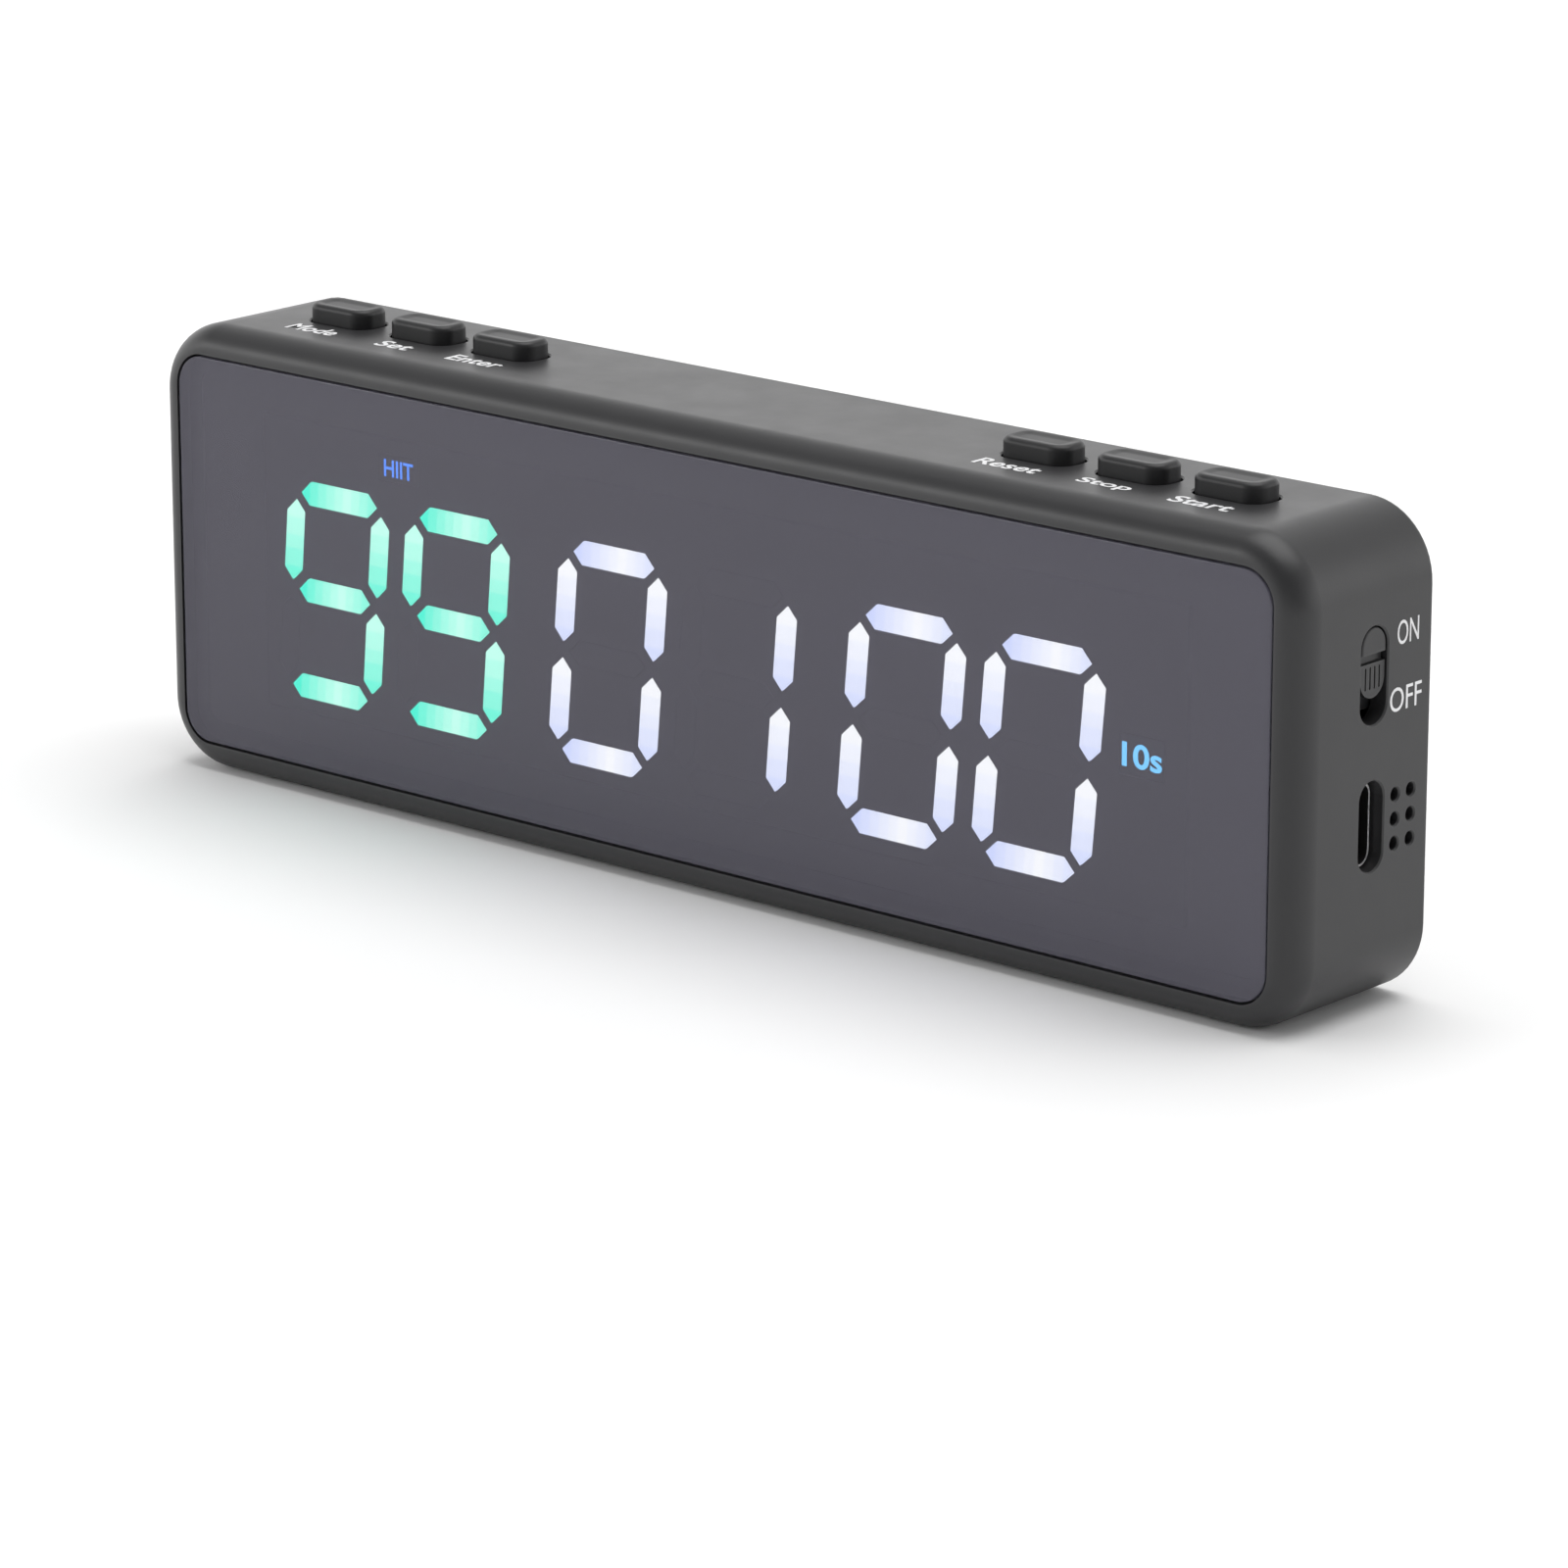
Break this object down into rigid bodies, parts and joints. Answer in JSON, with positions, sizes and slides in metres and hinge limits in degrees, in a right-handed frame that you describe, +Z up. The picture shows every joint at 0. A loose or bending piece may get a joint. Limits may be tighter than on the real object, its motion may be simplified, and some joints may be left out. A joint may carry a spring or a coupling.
{
  "type": "gym round timer",
  "caption": "Slim black bar timer with a smoked front display of large lit digits, push buttons on top, and a power slider and charging socket on its right end.",
  "frame": {"origin": "middle of the bottom face that the timer stands on", "axes": "+X to the right seen from the front, -Y out of the display, +Z up"},
  "size_m": [0.16, 0.0222, 0.0532],
  "materials": {
    "case_plastic": "fine-textured satin black moulded plastic",
    "slider_plastic": "satin black moulded plastic, edges worn smooth",
    "button_rubber": "soft-touch black rubber",
    "smoked_lens": "glossy smoked acrylic sheet",
    "adhesive_tape": "black double-sided foam tape",
    "display_frame_plastic": "matt black light-proof plastic",
    "green_light": "milky diffuser lit green, emissive",
    "white_light": "milky diffuser lit cool white, emissive",
    "blue_light": "milky diffuser with a blue sign, emissive",
    "circuit_board": "green solder mask over glass fibre",
    "component_plastic": "black moulded epoxy and nylon",
    "foam_tape": "white foam pad",
    "battery_pouch": "dull laminated aluminium pouch",
    "connector_plastic": "natural nylon",
    "red_insulation": "red silicone insulation",
    "black_insulation": "black silicone insulation",
    "switch_steel": "tin-plated pressed steel",
    "socket_steel": "nickel-plated drawn steel",
    "magnet_nickel": "nickel-plated magnet disc",
    "screw_steel": "zinc-plated screw steel"
  },
  "bodies": {
    "case": {"main_housing": "case_plastic", "rear_cover": "case_plastic", "front_lens": "smoked_lens", "lens_adhesive": "adhesive_tape", "display_frame": "display_frame_plastic", "digit_1": "green_light", "digit_2": "green_light", "digit_3": "white_light", "digit_4": "white_light", "digit_5": "white_light", "digit_6": "white_light", "mode_sign": "blue_light", "seconds_sign": "blue_light", "main_board": "circuit_board", "controller_chip": "component_plastic", "buzzer": "component_plastic", "battery_pad": "foam_tape", "battery": "battery_pouch", "battery_socket": "connector_plastic", "battery_plug": "connector_plastic", "battery_lead_red": "red_insulation", "battery_lead_black": "black_insulation", "push_switch_mode": "switch_steel", "push_switch_set": "switch_steel", "push_switch_enter": "switch_steel", "push_switch_reset": "switch_steel", "push_switch_stop": "switch_steel", "push_switch_start": "switch_steel", "slide_switch_body": "switch_steel", "usb_shell": "socket_steel", "usb_tongue": "component_plastic", "magnet_left": "magnet_nickel", "magnet_right": "magnet_nickel", "cover_screw_1": "screw_steel", "cover_screw_2": "screw_steel", "cover_screw_3": "screw_steel", "cover_screw_4": "screw_steel", "board_screw_1": "screw_steel", "board_screw_2": "screw_steel", "board_screw_3": "screw_steel", "board_screw_4": "screw_steel"},
    "button_mode": {"button_mode": "button_rubber", "plunger_mode": "component_plastic"},
    "button_set": {"button_set": "button_rubber", "plunger_set": "component_plastic"},
    "button_enter": {"button_enter": "button_rubber", "plunger_enter": "component_plastic"},
    "button_reset": {"button_reset": "button_rubber", "plunger_reset": "component_plastic"},
    "button_stop": {"button_stop": "button_rubber", "plunger_stop": "component_plastic"},
    "button_start": {"button_start": "button_rubber", "plunger_start": "component_plastic"},
    "power_slider": {"slider_knob": "slider_plastic", "slide_switch_lever": "component_plastic"}
  },
  "joints": [
    {"name": "mode_press", "type": "slide", "parent": "case", "child": "button_mode", "axis": [0, 0, -1], "range_m": [0, 0.0005], "stiffness_N_per_m": 3000},
    {"name": "set_press", "type": "slide", "parent": "case", "child": "button_set", "axis": [0, 0, -1], "range_m": [0, 0.0005], "stiffness_N_per_m": 3000},
    {"name": "enter_press", "type": "slide", "parent": "case", "child": "button_enter", "axis": [0, 0, -1], "range_m": [0, 0.0005], "stiffness_N_per_m": 3000},
    {"name": "reset_press", "type": "slide", "parent": "case", "child": "button_reset", "axis": [0, 0, -1], "range_m": [0, 0.0005], "stiffness_N_per_m": 3000},
    {"name": "stop_press", "type": "slide", "parent": "case", "child": "button_stop", "axis": [0, 0, -1], "range_m": [0, 0.0005], "stiffness_N_per_m": 3000},
    {"name": "start_press", "type": "slide", "parent": "case", "child": "button_start", "axis": [0, 0, -1], "range_m": [0, 0.0005], "stiffness_N_per_m": 3000},
    {"name": "power_slide", "type": "slide", "parent": "case", "child": "power_slider", "axis": [0, 0, -1], "range_m": [0, 0.0026]}
  ]
}
